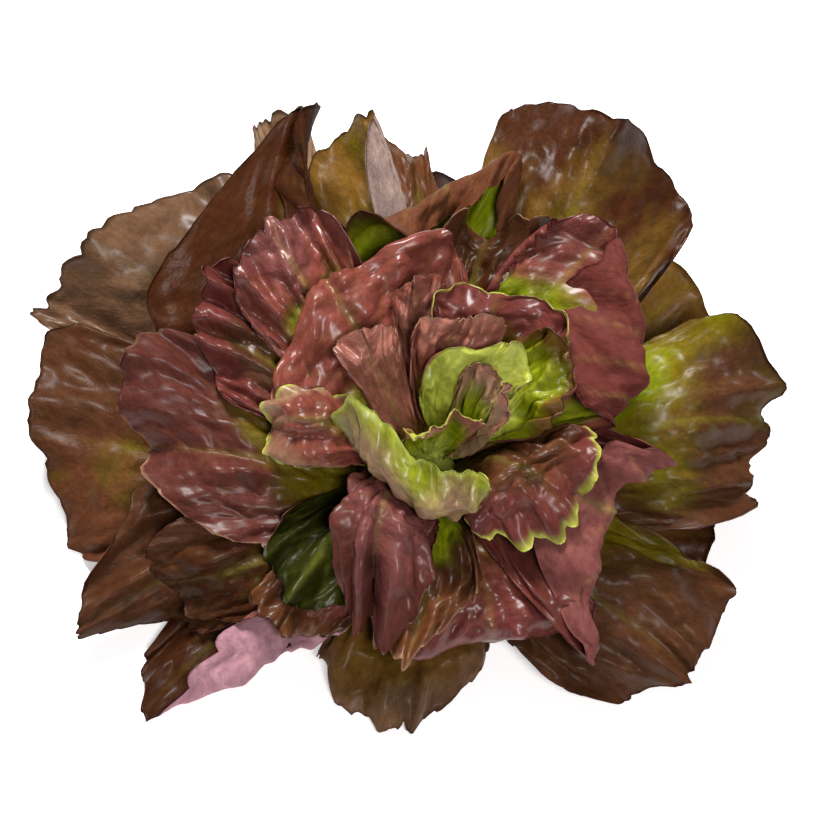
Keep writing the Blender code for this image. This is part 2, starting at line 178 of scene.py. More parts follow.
# Name, tip, left, right, belly and foot, then the colours from the foot out where they aren't the usual ones
LEAVES = [
    # lowest leaves, spread on the ground
    Leaf("outer_leaf_01", (88, 142, 6), (106, 130, 8), (70, 130, 8), (88, 78, 9), 88, gloss=0.08,
         hidden=True),
    Leaf("outer_leaf_02", (352, 112, 5), (12, 106, 10), (332, 104, 8), (350, 64, 12), 350, gloss=0.08,
         hidden=True),
    Leaf("outer_leaf_03", (166, 128, 5), (186, 116, 8), (146, 122, 10), (166, 72, 12), 166, gloss=0.08,
         hidden=True),
    Leaf("outer_leaf_04", (42, 142, 14), (60, 134, 12), (24, 124, 14), (41, 78, 14), 42, LIME, OLIVE,
         BRONZE, gloss=0.08, hidden=True),
    Leaf("outer_leaf_05", (262, 93, 3), (288, 75, 7), (240, 86, 5), (262, 54, 14), 262, OLIVE, BRONZE,
         GREY_BROWN, spread=0.65, point=0.5, ripple=6, lobe=5, gloss=0.1),
    Leaf("outer_leaf_06", (9, 139, 39), (29, 121, 47), (353, 115, 26), (8, 72, 44), 8, LIME, OLIVE, UMBER,
         spread=0.6, ripple=6, lobe=5, flush=0.56, lean=-0.4, gloss=0.15),
    Leaf("outer_leaf_07", (324, 113, 8), (342, 121, 20), (306, 99, 4), (320, 66, 28), 319, OLIVE, UMBER,
         UMBER, spread=0.65, ripple=7, lobe=5, lean=-0.4, gloss=0.1),
    Leaf("outer_leaf_08", (114, 162, 58), (118, 148, 48), (108, 146, 46), (115, 88, 27), 114, TAN, TAN,
         TAN, ripple=2.5, crumple=1.5, lobe=2.5, gloss=0.05),
    Leaf("outer_leaf_09", (144, 166, 41), (157, 155, 30), (120, 138, 54), (140, 88, 30), 140, BRONZE,
         GREY_BROWN, GREY_BROWN, spread=0.95, ripple=6, lobe=5.5, gloss=0.22),
    Leaf("outer_leaf_10", (219, 134, 6), (247, 124, 4), (209, 121, 10), (216, 72, 18), 218, OLIVE, DARK,
         DARK, under=PINK, point=0.3, crease=(74, 24, 165, 4), ripple=5, crumple=2, lobe=4, gloss=0.08),
    Leaf("outer_leaf_11", (172, 152, 20), (192, 133, 10), (154, 150, 31), (174, 86, 28), 174, OLIVE, PLUM,
         UMBER, spread=0.78, ripple=6.5, crumple=2.2, lobe=3.5, flush=0.55, lean=-0.35, gloss=0.06),
    # raised outer leaves
    Leaf("outer_leaf_12", (60, 132, 48), (78, 122, 36), (44, 120, 54), (60, 76, 42), 60, gloss=0.08,
         hidden=True),
    Leaf("outer_leaf_13", (94, 132, 44), (112, 124, 40), (76, 122, 42), (94, 74, 34), 94, gloss=0.08,
         hidden=True),
    Leaf("outer_leaf_14", (93, 135, 66), (101, 126, 62), (87, 122, 60), (90, 74, 50), 88, LIME, BROWN,
         BROWN, ripple=2.2, crumple=1.4, lobe=2, gloss=0.15),
    Leaf("outer_leaf_15", (202, 143, 8), (214, 108, 12), (184, 112, 40), (200, 72, 32), 202, UMBER, DARK,
         UMBER, point=0.9, ripple=6, crumple=2.0, lobe=5, gloss=0.04),
    Leaf("outer_leaf_16", (99, 148, 68), (113, 130, 54), (94, 134, 76), (96, 84, 44), 96, OLIVE, OLIVE,
         BRONZE, under=ASH, crease=(-80, 14, 150, 3), ripple=2.8, crumple=1.8, lobe=2.4, gloss=0.06),
    Leaf("outer_leaf_17", (126, 112, 60), (142, 108, 52), (110, 98, 62), (124, 70, 50), 124, gloss=0.08,
         hidden=True),
    Leaf("outer_leaf_18", (60, 144, 91), (79, 135, 90), (39, 131, 74), (58, 82, 66), 60, OLIVE, BRONZE,
         DARK, spread=0.72, ripple=6, lobe=4.5, flush=0.5, lean=-0.12, gloss=0.12),
    Leaf("outer_leaf_19", (206, 118, 24), (222, 92, 18), (196, 100, 44), (213, 66, 40), 211, OLIVE, DARK,
         UMBER, ripple=6, ripples=5, crumple=2.6, gloss=0.05),
    # its colours are all DARK: its own dark red-brown, deepened with painted shade on its shaded inner face
    Leaf("outer_leaf_20", (111, 138, 98), (153, 124, 64), (114, 104, 86), (132, 80, 62), 130, DARK, DARK,
         DARK, under=DARK, point=0.35, ripple=5, crumple=2.4, lobe=4, gloss=0.0),
    # middle leaves
    Leaf("middle_leaf_01", (228, 84, 24), (244, 68, 22), (218, 80, 30), (230, 56, 32), 228, OLIVE, PURPLE,
         BROWN, crumple=3.5, gloss=0.35),
    Leaf("middle_leaf_02", (180, 112, 54), (205, 76, 42), (160, 110, 68), (186, 60, 58), 188, OLIVE,
         WINE, WINE, point=0.5, ripple=6.5, ripples=4, crumple=2.2, lobe=4.5, pale_rim_and_highlight=0.4, gloss=0.2),
    # its body and edge are near-black painted shade: this leaf stands for a shaded hollow
    Leaf("middle_leaf_03", (226, 76, 32), (243, 60, 32), (208, 66, 42), (222, 44, 38), 222, PALE_LIME, PAINTED_HOLLOW_SHADE,
         PAINTED_HOLLOW_SHADE, crumple=2.5, lobe=4, flush=0.45, lean=-0.35, gloss=0.1),
    Leaf("middle_leaf_04", (156, 98, 76), (173, 76, 64), (142, 96, 82), (155, 55, 64), 152, OLIVE, UMBER,
         PURPLE, ripple=6, ripples=5, crumple=5, gloss=0.3),
    Leaf("middle_leaf_05", (84, 106, 98), (115, 87, 86), (70, 116, 104), (90, 72, 62), 90, LIME, LIME,
         UMBER, under=PLUM, spread=0.7, ripple=5, rolls=((-0.25, 0.7, 140),), roll_start=0.8,
         roll_radius=4, lobe=3.5, flush=0.9, gloss=0.06),
    Leaf("middle_leaf_06", (288, 78, 22), (316, 84, 30), (262, 74, 26), (292, 48, 40), 292, OLIVE, RED,
         PURPLE, ripple=6.5, pucker=2.0, rolls=((0.0, 0.7, -60),), roll_start=0.84, roll_radius=6, lobe=4,
         gloss=0.5),
    Leaf("middle_leaf_07", (336, 110, 60), (357, 74, 70), (306, 102, 30), (338, 54, 54), 338, PURPLE,
         PURPLE, PURPLE, under=MAUVE, crease=(-6, 14, 165, 5), ripple=5, lobe=3.5, gloss=0.3),
    Leaf("middle_leaf_08", (130, 94, 95), (150, 82, 80), (116, 80, 92), (132, 58, 74), 127, LIME, RED,
         MAUVE, ripple=7, ripples=5, crumple=6, pucker=2.2, lobe=4, gloss=0.6),
    Leaf("middle_leaf_09", (74, 80, 86), (87, 72, 86), (58, 80, 90), (75, 52, 74), 77, OLIVE, DARK, UMBER,
         lobe=3.5, pale_rim_and_highlight=0.4, gloss=0.2),
    Leaf("middle_leaf_10", (264, 74, 30), (288, 58, 42), (250, 62, 36), (270, 44, 42), 265, LIME, UMBER,
         BROWN, ripple=5, crumple=4.5, lobe=4, pale_rim_and_highlight=1.2, gloss=0.35),
    Leaf("middle_leaf_11", (128, 74, 86), (168, 64, 68), (85, 80, 90), (130, 42, 80), 130, LIME, RED, RED,
         spread=0.15, point=0.3, ripple=7, ripples=4, crumple=3.2, pucker=2.0, rolls=((0.1, 0.8, -60),),
         roll_start=0.84, roll_radius=6, lobe=3.5, flush=0.25, lean=-0.2, pale_rim_and_highlight=0.6, gloss=0.55),
    Leaf("middle_leaf_12", (45, 94, 98), (62, 62, 90), (3, 140, 78), (46, 58, 82), 42, LIME, RED, PURPLE,
         under=PURPLE, crease=(-63, 27, 165, 5), ripple=5.5, lobe=4, flush=0.48, gloss=0.45),
    Leaf("middle_leaf_13", (252, 78, 28), (270, 48, 50), (230, 53, 56), (242, 36, 70), 245, UMBER, MAUVE,
         WINE, ripple=6, lobe=3.5, gloss=0.28),
    Leaf("middle_leaf_14", (330, 60, 52), (354, 60, 72), (300, 38, 57), (328, 36, 76), 325, DARK, BROWN,
         PURPLE, ripple=6.5, ripples=4, crumple=2.2, pucker=2.0, lobe=2.6, flush=0.38, lean=-0.3,
         pale_rim_and_highlight=4.0, gloss=0.3),
    # heart
    Leaf("heart_leaf_01", (182, 66, 71), (200, 50, 64), (168, 50, 76), (186, 36, 78), 195, LIME, RED,
         TAN, under=LIME, ripple=4, crumple=2, pucker=1.8, flush=0.25, pale_rim_and_highlight=3.5, gloss=0.45),
    Leaf("heart_leaf_02", (96, 45, 98), (110, 41, 94), (82, 39, 99), (100, 30, 82), 110, RED, ROSE, RED,
         ripple=3, crumple=2, pale_rim_and_highlight=0.8, gloss=0.4),
    Leaf("heart_leaf_03", (58, 46, 100), (90, 32, 98), (24, 54, 94), (56, 34, 84), 75, OLIVE, PURPLE,
         PURPLE, ripple=3.5, pale_rim_and_highlight=2.2, gloss=0.4),
    Leaf("heart_leaf_04", (14, 54, 90), (34, 50, 92), (352, 44, 82), (12, 36, 76), 12, PALE_LIME, LIME,
         BRONZE, ripple=3, gloss=0.4),
    Leaf("heart_leaf_05", (252, 20, 88), (187, 34, 88), (305, 38, 72), (262, 37, 58), 262, LIME, TAN, LIME,
         under=PALE_LIME, ripple=3.5, pucker=1.0, flush=0.25, pale_rim_and_highlight=3.0, gloss=0.5),
    Leaf("heart_leaf_06", (134, 37, 95), (160, 34, 90), (122, 25, 94), (145, 24, 80), 150, ROSE, ROSE,
         ROSE, ripple=2.0, crumple=2, pale_rim_and_highlight=0.8, gloss=0.6),
    Leaf("heart_leaf_07", (66, 29, 101), (106, 24, 99), (38, 34, 100), (75, 16, 84), 60, LIME, RED, ROSE,
         ripple=2.5, pale_rim_and_highlight=0.8, gloss=0.45),
    Leaf("heart_leaf_08", (36, 35, 97), (100, 12, 95), (6, 29, 90), (30, 14, 80), 40, PALE_LIME, PALE_LIME,
         PALE_LIME, ripple=3, gloss=0.4),
    Leaf("heart_leaf_09", (10, 30, 95), (30, 16, 96), (344, 26, 86), (350, 20, 78), 340, LIME, TAN, ROSE,
         under=TAN, ripple=1.5),
    Leaf("heart_leaf_10", (300, 9, 91), (225, 15, 83), (345, 18, 87), (270, 9, 70), 290, PALE_LIME, LIME,
         ROSE, under=PALE_LIME, ripple=1.5),
]


def spot(place):
    """A place given as (azimuth, reach, height) as a point in metres."""
    turn = math.radians(place[0])
    return np.array([place[1] * math.cos(turn), place[1] * math.sin(turn), place[2]]) * MM


def stem_radius(height):
    """The stem's radius: straight up to its shoulder, then falling with a power of the height."""
    rise = np.clip((height - STEM_SHOULDER) / (STEM_HEIGHT - STEM_SHOULDER), 0, 1)
    return STEM_RADIUS + (STEM_TIP_RADIUS - STEM_RADIUS) * rise**STEM_TAPER


def ramp(value, low, high):
    """0 below low, 1 above high, with a smooth S between them."""
    share = np.clip((value - low) / (high - low), 0, 1)
    return share * share * (3 - 2 * share)


def noise(x, y, seed):
    """Value noise from -1 to 1: random values at whole numbers, eased between with smooth S curves."""
    table = np.random.default_rng(seed).uniform(-1, 1, (64, 64))
    column, row = np.floor(x).astype(int), np.floor(y).astype(int)
    right, up = x - column, y - row
    right, up = right * right * (3 - 2 * right), up * up * (3 - 2 * up)
    near = table[row % 64, column % 64] * (1 - right) + table[row % 64, (column + 1) % 64] * right
    far = table[(row + 1) % 64, column % 64] * (1 - right) + table[(row + 1) % 64, (column + 1) % 64] * right
    return near * (1 - up) + far * up


def pillows(x, y, seed):
    """Rounded pillows of about one unit each: the distance to the second nearest of a field of jittered
    points less the distance to the nearest one, eased, so that it is 0 in the valleys between them."""
    jitter = np.random.default_rng(seed).uniform(0.1, 0.9, (64, 64, 2))
    column, row = np.floor(x).astype(int), np.floor(y).astype(int)
    gaps = []
    for down in (-1, 0, 1):
        for across in (-1, 0, 1):
            seat = jitter[(row + down) % 64, (column + across) % 64]
            gaps.append(np.hypot(column + across + seat[..., 0] - x, row + down + seat[..., 1] - y))
    gaps = np.sort(np.stack(gaps), axis=0)
    return ramp(gaps[1] - gaps[0], 0.0, 0.75)


def foot_points(leaf, foot_height):
    """The right end, middle and left end of the arc where a leaf clasps the stem."""
    points = []
    for side in (-1, 0, 1):
        turn = math.radians(leaf.foot) + side * FOOT_TURN
        height = foot_height + abs(side) * FOOT_DROOP
        reach = stem_radius(height) + FOOT_GAP
        points.append(np.array([reach * math.cos(turn), reach * math.sin(turn), height]))
    return points


def through(start, middle, share, end, s):
    """The parabola that is at start for s = 0, at middle for s = share and at end for s = 1."""
    pull = (middle - (1 - share) ** 2 * start - share**2 * end) / (2 * share * (1 - share))
    s = s[..., None]
    return (1 - s) ** 2 * start + 2 * s * (1 - s) * pull + s**2 * end


def blade(leaf, foot, s, t):
    """The smooth surface: parabolas along the midrib and both edges, and a parabola across them."""
    tip = spot(leaf.tip)
    left, right, belly = spot(leaf.left), spot(leaf.right), spot(leaf.belly)
    middle = through(foot[1], belly, 0.5, tip, s)
    widest = through(foot[1], belly, 0.5, tip, np.array(WIDEST))
    left_edge = through(foot[2], left, WIDEST, tip + (left - widest) * leaf.spread, s)
    right_edge = through(foot[0], right, WIDEST, tip + (right - widest) * leaf.spread, s)
    t = t[..., None]
    return middle + t / 2 * (left_edge - right_edge) + t**2 / 2 * (left_edge + right_edge - 2 * middle)


def leaf_size(leaf, foot):
    """Length along the midrib and half width at the shoulders, as sums of straight distances."""
    tip, belly = spot(leaf.tip), spot(leaf.belly)
    length = np.linalg.norm(belly - foot[1]) + np.linalg.norm(tip - belly)
    widest = through(foot[1], belly, 0.5, tip, np.array(WIDEST))
    width = (np.linalg.norm(spot(leaf.left) - widest) + np.linalg.norm(spot(leaf.right) - widest)) / 2
    return length, width


def fan(leaf, u, v):
    """Lines from the foot (u = 0) to the rim (u = 1): the rim is a quarter ellipse on each side of the
    tip, then nearly straight sides down to the foot."""
    across = np.abs(v)
    on_top = across < TOP_SHARE
    turn = across / TOP_SHARE * math.pi / 2
    down = np.clip((across - TOP_SHARE) / (1 - TOP_SHARE), 0, 1)
    rim_s = np.where(on_top, WIDEST + (1 - WIDEST) * np.cos(turn), WIDEST - (WIDEST - SIDE_START) * down)
    rim_t = np.where(on_top, np.sin(turn) * (1 - leaf.point * 0.5 * np.cos(turn)), 1 - SIDE_TAPER * down)
    return u * rim_s, (1 - u) * v * FOOT_SHARE + u * rim_t * np.sign(v)


def folded(x, y, z, crease, length):
    """Turns the blade over a round crease: what lies beyond the crease line is wound round a cylinder
    and then runs on straight."""
    turn, offset, angle, radius = crease
    turn, angle = math.radians(turn), math.radians(angle)
    offset, radius = offset * MM, radius * MM
    out_x, out_y = math.sin(turn), math.cos(turn)
    beyond = x * out_x + (y - length / 2) * out_y - offset
    along = x * out_y - (y - length / 2) * out_x
    bend = np.clip(beyond / radius, 0, angle)
    rest = np.maximum(beyond - radius * angle, 0)
    reach = np.where(beyond > 0, radius * np.sin(bend) + rest * np.cos(bend) - z * np.sin(bend), beyond)
    z = np.where(beyond > 0, radius * (1 - np.cos(bend)) + rest * np.sin(bend) + z * np.cos(bend), z)
    reach = reach + offset
    return reach * out_x + along * out_y, reach * out_y - along * out_x + length / 2, z


def roll(leaf, u, v, run, seed):
    """Rolls parts of the rim: what lies past the start of the roll is wound round a cylinder that lies
    across the fan lines and then runs on straight. Gives the shares and the lift off the blade."""
    angle = ROLL_WANDER * noise(v * 2.5 + 3, np.full_like(v, seed), seed + 20)
    for middle, width, turn in leaf.rolls:
        angle = angle + turn * np.exp(-(((v - middle) / width) ** 4))
    angle, radius = np.radians(angle), leaf.roll_radius * MM
    past = np.maximum(u - leaf.roll_start, 0) * run
    bend = np.minimum(past / radius, np.abs(angle))
    rest = past - radius * bend
    lift = radius * (1 - np.cos(bend)) + rest * np.sin(bend)
    shares = np.minimum(u, leaf.roll_start) + (radius * np.sin(bend) + rest * np.cos(bend)) / run
    return shares, lift * np.sign(angle)


def relief(leaf, u, v, seed):
    """Ripples that grow towards the rim, and sharp folds that run out along the fan lines."""
    bent = v + 0.06 * noise(v * 4 + 9, u * 3, seed + 21)
    long_wave = noise(bent * leaf.ripples * 1.5 + 7, u * 1.6, seed)
    short_wave = noise(bent * leaf.ripples * 3.6, u * 2.6, seed + 22)
    wave = long_wave + 0.5 * short_wave
    crease = 1 - 2 * np.abs(noise(bent * 4.2 + 2, u * 2.2 + 5, seed + 23))
    small = 1 - 2 * np.abs(noise(bent * 9.5 + 5, u * 4.6, seed + 24))
    folds = leaf.crumple * (crease + SMALL_FOLDS * small) * ramp(u, 0.1, 0.7)
    return MM * (leaf.ripple * wave * u**RIPPLE_GROWTH + folds)


def scallops(v, seed):
    """How far the rim stands out along its way round: broad lobes, pointed tongues and small teeth."""
    lane = np.full_like(v, seed)
    broad = noise(v * 3.4 + 11, lane, seed + 25)
    tongues = np.abs(noise(v * 7 + 5, lane, seed + 1))
    teeth = noise(v * 31 + 3, np.zeros_like(v), seed + 2)
    return broad + 1.6 * tongues - 0.5 + 0.25 * teeth


def leaf_sheet(leaf, foot_height, seed, shape, detailed):
    """The middle of the leaf as a grid of points, the place of each point on the flat leaf, its share of
    the way out (u) and its place round the rim (v): the shares are stretched by the rim's lobes, rolled
    and creased, and the points are then lifted off the blade along its normals."""
    rows, columns = shape
    out = np.linspace(0, 1, rows + 1) ** ROW_CROWDING
    u, v = np.meshgrid(out, np.linspace(-1, 1, columns + 1), indexing="ij")
    foot = foot_points(leaf, foot_height)
    length, width = leaf_size(leaf, foot)
    rim_s, rim_t = fan(leaf, np.ones_like(u), v)
    run = np.hypot(rim_s * length, (rim_t - v * FOOT_SHARE) * width)
    grown = u * (1 + leaf.lobe * MM * scallops(v, seed) / run * u**LOBE_GROWTH)
    shares, lift = roll(leaf, grown, v, run, seed)
    flat_s, flat_t = fan(leaf, u, v)
    flat = np.stack([flat_t * width, flat_s * length], -1)
    s, t = fan(leaf, shares, v)
    x, y = t * width, s * length
    z = relief(leaf, u, v, seed) + lift
    if detailed:
        z = z + puckers(leaf, flat[..., 0], flat[..., 1], u, seed)
    if leaf.crease is not None:
        fold_x, fold_y, fold_z = folded(x, y, z, leaf.crease, length)
        open_foot = np.clip((s - CREASE_START) / CREASE_FADE, 0, 1)
        s, t = s + open_foot * (fold_y / length - s), t + open_foot * (fold_x / width - t)
        z = z + open_foot * (fold_z - z)
    along = blade(leaf, foot, s + NUDGE, t) - blade(leaf, foot, s - NUDGE, t)
    aside = blade(leaf, foot, s, t + NUDGE) - blade(leaf, foot, s, t - NUDGE)
    up = np.cross(along, aside)
    up /= np.linalg.norm(up, axis=-1, keepdims=True)
    return blade(leaf, foot, s, t) + z[..., None] * up, flat, u, v


def vein_field(x, y, seed):
    """How near a point is to a vein, 0 to 1: the midrib, and side veins that leave it at a slant, by
    turns to the left and right. Both fall off as bell curves of the distance."""
    drift = VEIN_DRIFT * noise(x / DRIFT_SIZE, y / DRIFT_SIZE, seed + 5)
    midrib = np.exp(-((x + drift * 0.3) / MIDRIB_WIDTH) ** 2)
    bowed = VEIN_SLANT * np.abs(x) ** VEIN_BOW * BOW_SCALE
    number = (y - bowed + drift) / VEIN_SPACING + np.where(x > 0, 0.5, 0.0)
    off_vein = np.abs(number - np.round(number)) * VEIN_SPACING
    side = np.exp(-((off_vein / SIDE_VEIN_WIDTH) ** 2)) * ramp(np.abs(x), 0.0, 0.004)
    return midrib, side


def puckers(leaf, x, y, u, seed):
    """Blistering: big pillows between the veins with small ones on them, flat at the very foot."""
    warp_x = x + PILLOW_WARP * noise(x / WARP_SIZE, y / WARP_SIZE, seed + 3)
    warp_y = y + PILLOW_WARP * noise(x / WARP_SIZE + 9, y / WARP_SIZE, seed + 4)
    big = pillows(warp_x / BIG_PILLOW + 20, warp_y / BIG_PILLOW + 20, seed + 6)
    small = pillows(warp_x / SMALL_PILLOW + 20, warp_y / SMALL_PILLOW + 20, seed + 7)
    blisters = big - 0.5 + SMALL_PILLOW_SHARE * (small - 0.5)
    return leaf.pucker * MM * blisters * ramp(u, 0.05, 0.35)


def to_swing(points):
    """Azimuth, swing above the horizontal and distance, about the pivot on the stem's axis."""
    reach = np.hypot(points[..., 0], points[..., 1])
    rise = points[..., 2] - PIVOT
    return np.arctan2(points[..., 1], points[..., 0]), np.arctan2(rise, reach), np.hypot(reach, rise)


def from_swing(azimuth, swing, distance):
    """The points for an azimuth, swing and distance."""
    reach = distance * np.cos(swing)
    x, y = reach * np.cos(azimuth), reach * np.sin(azimuth)
    return np.stack([x, y, PIVOT + distance * np.sin(swing)], -1)


def grid_faces(rows, columns):
    """The four corners of each cell of a grid with that many cells, as vertex numbers."""
    corner = np.arange(rows)[:, None] * (columns + 1) + np.arange(columns)
    return np.stack([corner, corner + 1, corner + columns + 2, corner + columns + 1], -1).reshape(-1, 4)


def grid_probes(rows, columns):
    """Places tested on a sheet: its vertices, the middles of its edges and of its cells, as vertex pairs."""
    number = np.arange((rows + 1) * (columns + 1)).reshape(rows + 1, columns + 1)
    pairs = (
        (number, number),
        (number[1:], number[:-1]),
        (number[:, 1:], number[:, :-1]),
        (number[1:, 1:], number[:-1, :-1]),
    )
    return np.concatenate([np.stack([one.ravel(), two.ravel()], 1) for one, two in pairs])


def contacts(plans, rows, columns):
    """Where two leaves lie over each other on the plan, as vertex numbers and weights: positive on the
    younger leaf and negative on the older one."""
    cells = grid_faces(rows, columns)
    triangles = np.concatenate([cells[:, [0, 3, 2]], cells[:, [0, 2, 1]]])
    probes = grid_probes(rows, columns)
    count = (rows + 1) * (columns + 1)
    numbers, weights = [], []
    for under, plan in enumerate(plans):
        corners = plan[triangles]
        lowest, highest = corners.min(1), corners.max(1)
        for over, other in enumerate(plans):
            low = np.maximum(plan.min(0), other.min(0))
            high = np.minimum(plan.max(0), other.max(0))
            if over == under or (low > high).any():
                continue
            places = other[probes].mean(1)
            near = np.flatnonzero((places >= low).all(1) & (places <= high).all(1))
            cell = np.flatnonzero((highest >= low).all(1) & (lowest <= high).all(1))
            if not len(near) or not len(cell):
                continue
            corner = corners[cell, 0]
            one, two = corners[cell, 1] - corner, corners[cell, 2] - corner
            area = one[:, 0] * two[:, 1] - one[:, 1] * two[:, 0]
            area = np.where(np.abs(area) < 1e-12, 1e-12, area)
            gap = places[near][:, None] - corner[None]
            b = (gap[..., 0] * two[:, 1] - gap[..., 1] * two[:, 0]) / area
            c = (one[:, 0] * gap[..., 1] - one[:, 1] * gap[..., 0]) / area
            probe, triangle = np.nonzero((b >= 0) & (c >= 0) & (b + c <= 1))
            b, c = b[probe, triangle], c[probe, triangle]
            sign = 1.0 if over > under else -1.0
            half = np.full(len(probe), 0.5)
            over_numbers = probes[near[probe]] + over * count
            numbers.append(np.concatenate([over_numbers, triangles[cell[triangle]] + under * count], 1))
            weights.append(sign * np.stack([half, half, b + c - 1, -b, -c], 1))
    return np.concatenate(numbers), np.concatenate(weights)


def blurred(field):
    """Each value averaged with its neighbours on the sheet."""
    edge = np.pad(field, ((0, 0), (1, 1), (1, 1)), mode="edge")
    sides = edge[:, :-2, 1:-1] + edge[:, 2:, 1:-1] + edge[:, 1:-1, :-2] + edge[:, 1:-1, 2:]
    return (sides + 2 * field) / 6


def swing_limits(swing, distance):
    """How far down and up each point may swing before it meets the ground or the stem."""
    turns = np.radians(np.linspace(-89, 89, 300))
    height = PIVOT + distance[..., None] * np.sin(turns)
    keep_out = stem_radius(height) + STEM_CLEARANCE
    blocked = distance[..., None] * np.cos(turns) < np.where(height < STEM_HEIGHT + MM, keep_out, 0)
    above = np.where(blocked & (turns > swing[..., None]), turns, STEEPEST).min(-1)
    below = np.where(blocked & (turns < swing[..., None]), turns, -STEEPEST).max(-1)
    ground = np.arcsin(np.clip((FLOOR_GAP - PIVOT) / distance, -1, 1))
    return np.minimum(np.maximum(below, ground), swing), np.maximum(above, swing)


def swings_in_order(sheets):
    """How far each point swings so that each younger leaf lies inside the older ones: every pair that is
    too close is pushed apart along the swing, again and again, and the moves are smoothed over the sheet."""
    count, rows, columns = sheets.shape[:3]
    azimuth, swing, distance = to_swing(sheets)
    plan = np.stack([distance * np.cos(azimuth), distance * np.sin(azimuth)], -1)
    numbers, weights = contacts(plan.reshape(count, -1, 2), rows - 1, columns - 1)
    share = np.abs(weights)
    normal = np.cross(np.gradient(sheets, axis=1), np.gradient(sheets, axis=2))
    normal /= np.linalg.norm(normal, axis=-1, keepdims=True)
    rising = np.stack([-np.sin(swing) * np.cos(azimuth), -np.sin(swing) * np.sin(azimuth), np.cos(swing)], -1)
    facing = np.abs((normal * rising).sum(-1)).clip(0.5, 1).ravel()[numbers].min(1)
    reach = (distance.ravel()[numbers] * share).sum(1) / share.sum(1)
    wanted = SHEET_GAP / reach / facing
    strength = (weights**2).sum(1)
    lowest, highest = swing_limits(swing, distance)
    moved = np.zeros_like(swing)
    for step in range(SETTLING_STEPS):
        done = step / SETTLING_STEPS
        short = np.maximum(wanted - ((swing + moved).ravel()[numbers] * weights).sum(1), 0)
        pushes = (short / strength)[:, None] * weights
        pushed = share * (short > 0)[:, None]
        total = np.bincount(numbers.ravel(), pushes.ravel(), swing.size)
        times = np.bincount(numbers.ravel(), pushed.ravel(), swing.size)
        moved += (EAGERNESS * total / np.maximum(times, 1)).reshape(moved.shape)
        soft = FIRST_BLUR * max(0, 1 - done / BLUR_FADE) + LAST_BLUR
        moved *= 1 - LETTING_GO * (1 - done)
        moved = (1 - soft) * moved + soft * blurred(moved)
        moved = np.clip(swing + moved, lowest, highest) - swing
    return blurred(moved)


def between(field, rows, columns):
    """A coarse grid's values read at the fan lines of a finer grid, eased from cell to cell."""
    coarse_rows, coarse_columns = field.shape[0] - 1, field.shape[1] - 1
    down = np.linspace(0, coarse_rows, rows + 1)
    across = np.linspace(0, coarse_columns, columns + 1)
    row = np.minimum(down.astype(int), coarse_rows - 1)
    column = np.minimum(across.astype(int), coarse_columns - 1)
    down, across = (down - row)[:, None], (across - column)[None, :]
    near = field[row][:, column] * (1 - across) + field[row][:, column + 1] * across
    far = field[row + 1][:, column] * (1 - across) + field[row + 1][:, column + 1] * across
    return near * (1 - down) + far * down


def soft_floor(points):
    """Presses what would sink into the floor up to it, with a soft bend."""
    height = points[..., 2]
    lowest = FLOOR_GAP / 2
    pressed = lowest + np.log1p(np.exp((height - lowest) / FLOOR_SOFTNESS)) * FLOOR_SOFTNESS
    points[..., 2] = np.where(height < 4 * FLOOR_GAP, pressed, height)
    return points


def sheet_normals(points):
    """Unit normals of a grid of points, on the side that faces the stem's axis."""
    normal = np.cross(np.gradient(points, axis=0), np.gradient(points, axis=1))
    return normal / (np.linalg.norm(normal, axis=-1, keepdims=True) + 1e-12)


def mixed(first, second, share):
    """Colours blended by a share that varies over the sheet."""
    return first + (second - first) * share[..., None]


def upper_colours(leaf, flat, u, v, seed):
    """The upper face's colour: the base colour gives way to the body and then to the edge colour in
    patches, with paler veins, blotches and a dark rim, or a pale rim that is partly painted highlight."""
    x, y = flat[..., 0], flat[..., 1]
    patch = noise(x / PATCH_SIZE[0] + 11, y / PATCH_SIZE[1], seed + 8)
    blotch = 0.55 * noise(x / BLOTCH_SIZE[0] + 1, y / BLOTCH_SIZE[1], seed + 9)
    blotch = blotch + 0.45 * noise(x / SPECK_SIZE, y / SPECK_SIZE + 4, seed + 11)
    base, body, edge = (np.array(colour) for colour in (leaf.base, leaf.body, leaf.edge))
    out = u + leaf.lean * v
    flushed = ramp(out + 0.28 * patch + 0.12 * blotch, leaf.flush - FLUSH_BLUR, leaf.flush + FLUSH_BLUR)
    colour = mixed(base, body, flushed)
    colour = mixed(colour, edge, ramp(out + 0.22 * patch + 0.1 * blotch, EDGE_START, EDGE_FULL))
    midrib, side = vein_field(x, y, seed)
    vein_colour = 0.55 * base + 0.45 * np.array(PALE_GREEN)
    veined = np.clip(0.5 * midrib * (1.1 - u) + 0.16 * side * (1.1 - u), 0, 1)
    colour = mixed(colour, vein_colour, veined)
    # a pale rim is partly the leaf's own pale margin and partly a painted highlight where the thin edge
    # catches the light
    if leaf.pale_rim_and_highlight:
        margin = 1 - leaf.pale_rim_and_highlight * MM / y.max()
        pale = np.array(PALE_LIME if leaf.pale_rim_and_highlight > LIME_RIM else TAN)
        colour = mixed(colour, pale, 0.8 * ramp(u + 0.01 * blotch, margin, 1.0))
    else:
        margin = 1 - DARK_RIM * MM / y.max()
        colour = mixed(colour, 0.6 * edge, ramp(u, margin - 0.01, margin))
    return colour * (1 + 0.28 * blotch + 0.15 * patch)[..., None]


def under_colours(leaf, flat, u, seed):
    """The under face's colour: pale green at the foot and along the ribs, the under colour further out."""
    x, y = flat[..., 0], flat[..., 1]
    blotch = noise(x / UNDER_PATCH_SIZE + 3, y / UNDER_PATCH_SIZE, seed + 10)
    colour = mixed(np.array(PALE_GREEN), np.array(leaf.under), ramp(u + 0.15 * blotch, 0.10, 0.5))
    midrib, side = vein_field(x, y, seed)
    colour = mixed(colour, 1.5 * np.array(leaf.under), 0.4 * side)
    colour = mixed(colour, np.array(PALE_GREEN), np.clip((1.2 * midrib + 0.5 * side) * (1 - u), 0, 1))
    return colour * (1 + 0.12 * blotch)[..., None]


